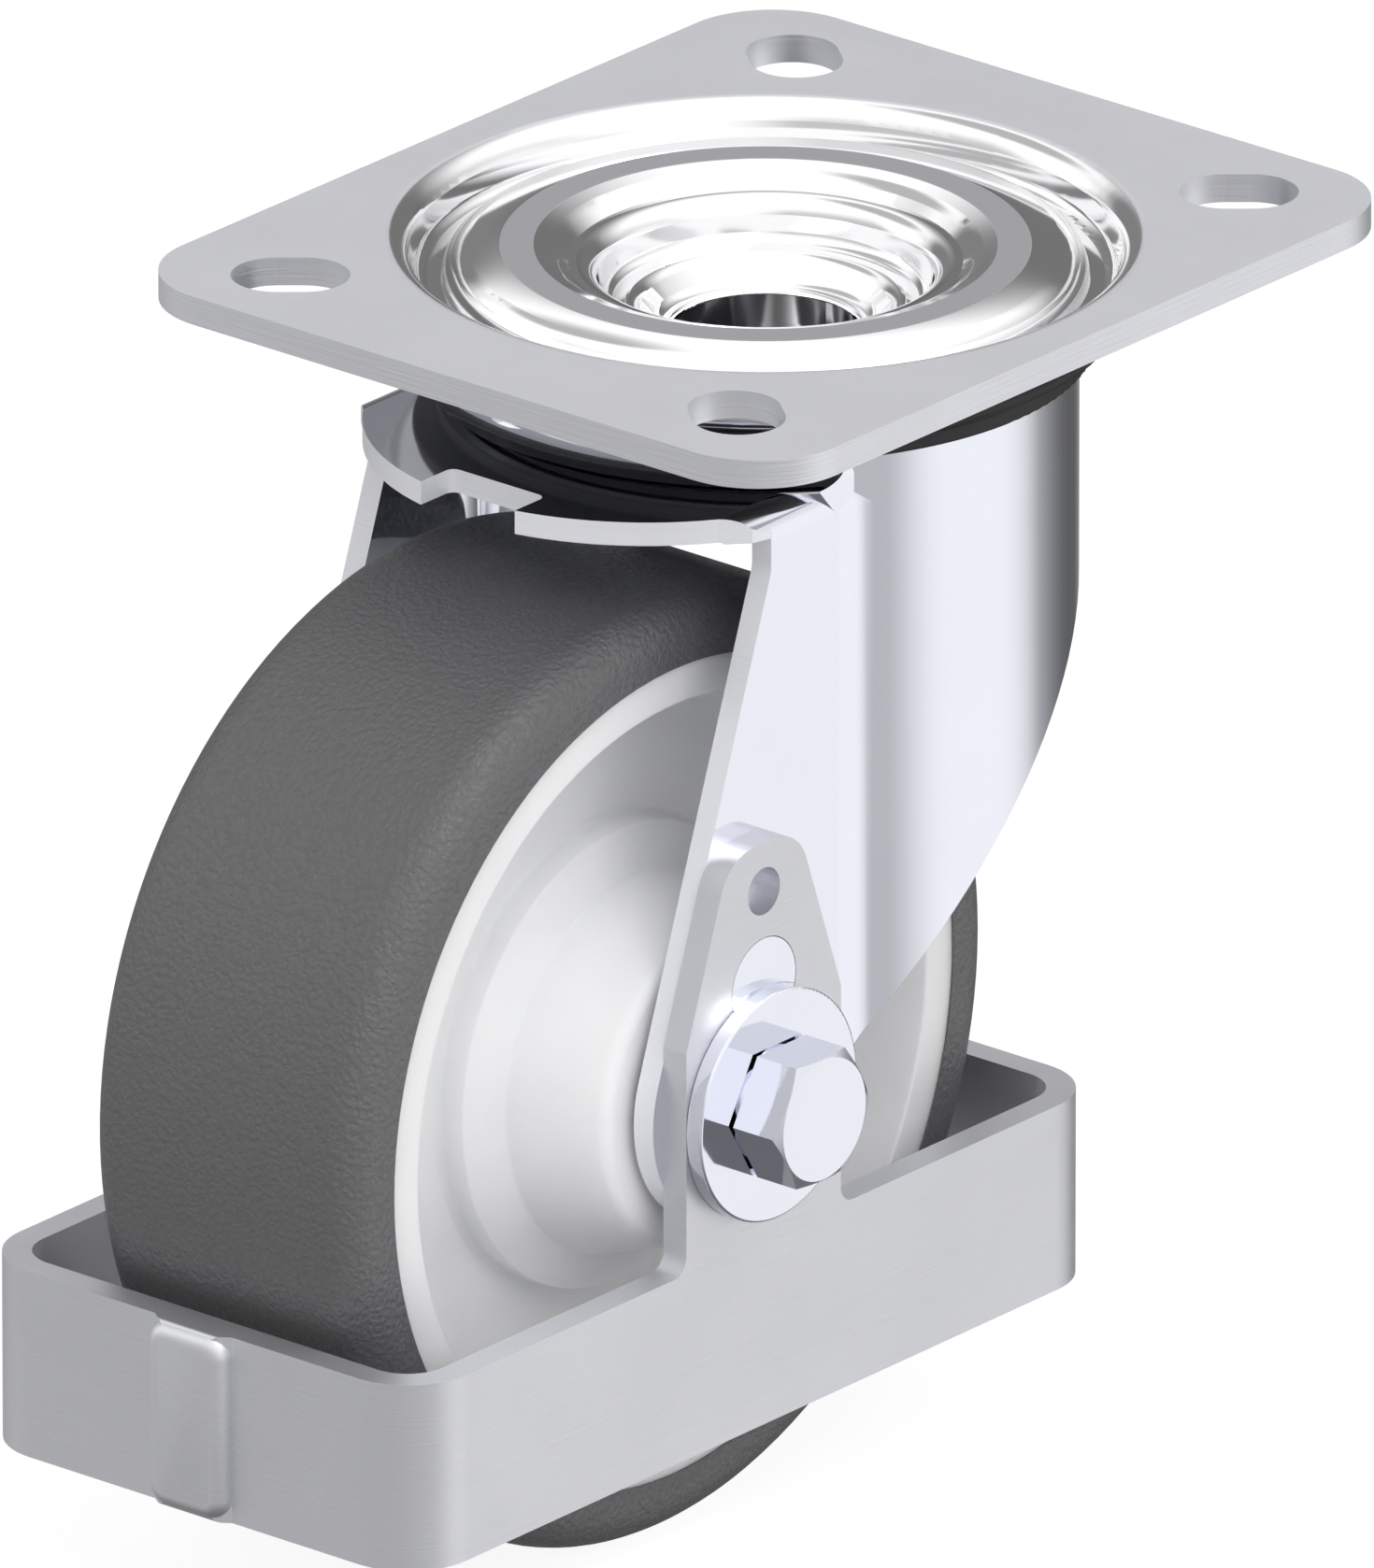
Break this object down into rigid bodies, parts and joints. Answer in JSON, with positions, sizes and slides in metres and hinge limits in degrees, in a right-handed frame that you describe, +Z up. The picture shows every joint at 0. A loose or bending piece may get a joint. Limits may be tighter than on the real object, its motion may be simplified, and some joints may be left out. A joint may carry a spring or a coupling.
{
  "type": "swivel caster",
  "caption": "Swivel caster with a rectangular mounting plate, pressed steel fork, white plastic wheel with a dark tyre, and a foot guard strip round the wheel.",
  "frame": {"origin": "on the swivel axis, in the top face of the mounting plate", "axes": "+Z up out of the plate, +X forward (the wheel trails towards -X), axle along Y"},
  "size_m": [0.1404, 0.085, 0.125],
  "materials": {
    "plated_steel": "bright zinc plate, fine horizontal brushing on the cut edges",
    "bright_steel": "mirror-bright plating",
    "bearing_steel": "ground steel",
    "black_rubber": "smooth black",
    "nylon_insert": "matt",
    "white_plastic": "satin white, slightly translucent",
    "dark_tyre": "dark grey with a fine leathery grain"
  },
  "bodies": {
    "mounting_head": {"top_plate": "plated_steel", "kingpin": "bright_steel", "lower_ball_cup": "bright_steel", "swivel_seal": "black_rubber"},
    "swivel_fork": {"fork": "bright_steel", "upper_ball_race": "bearing_steel", "lower_ball_race": "bearing_steel", "foot_guard": "plated_steel", "axle_bolt": "bright_steel", "bolt_washer": "bright_steel", "nut_washer": "bright_steel", "lock_nut": "bright_steel", "nut_insert": "nylon_insert", "axle_tube": "plated_steel", "bearing_inner_ring_left": "bearing_steel", "bearing_inner_ring_right": "bearing_steel"},
    "wheel": {"wheel_centre": "white_plastic", "tyre": "dark_tyre", "bearing_outer_ring_left": "bearing_steel", "bearing_outer_ring_right": "bearing_steel", "bearing_balls_left": "bearing_steel", "bearing_balls_right": "bearing_steel", "bearing_shield_outer_left": "bearing_steel", "bearing_shield_inner_left": "bearing_steel", "bearing_shield_outer_right": "bearing_steel", "bearing_shield_inner_right": "bearing_steel"}
  },
  "joints": [
    {"name": "swivel", "type": "hinge", "parent": "mounting_head", "child": "swivel_fork", "pos_m": [0, 0, 0], "axis": [0, 0, 1], "continuous": true},
    {"name": "wheel_spin", "type": "hinge", "parent": "swivel_fork", "child": "wheel", "pos_m": [-0.035, 0, -0.075], "axis": [0, 1, 0], "continuous": true}
  ]
}
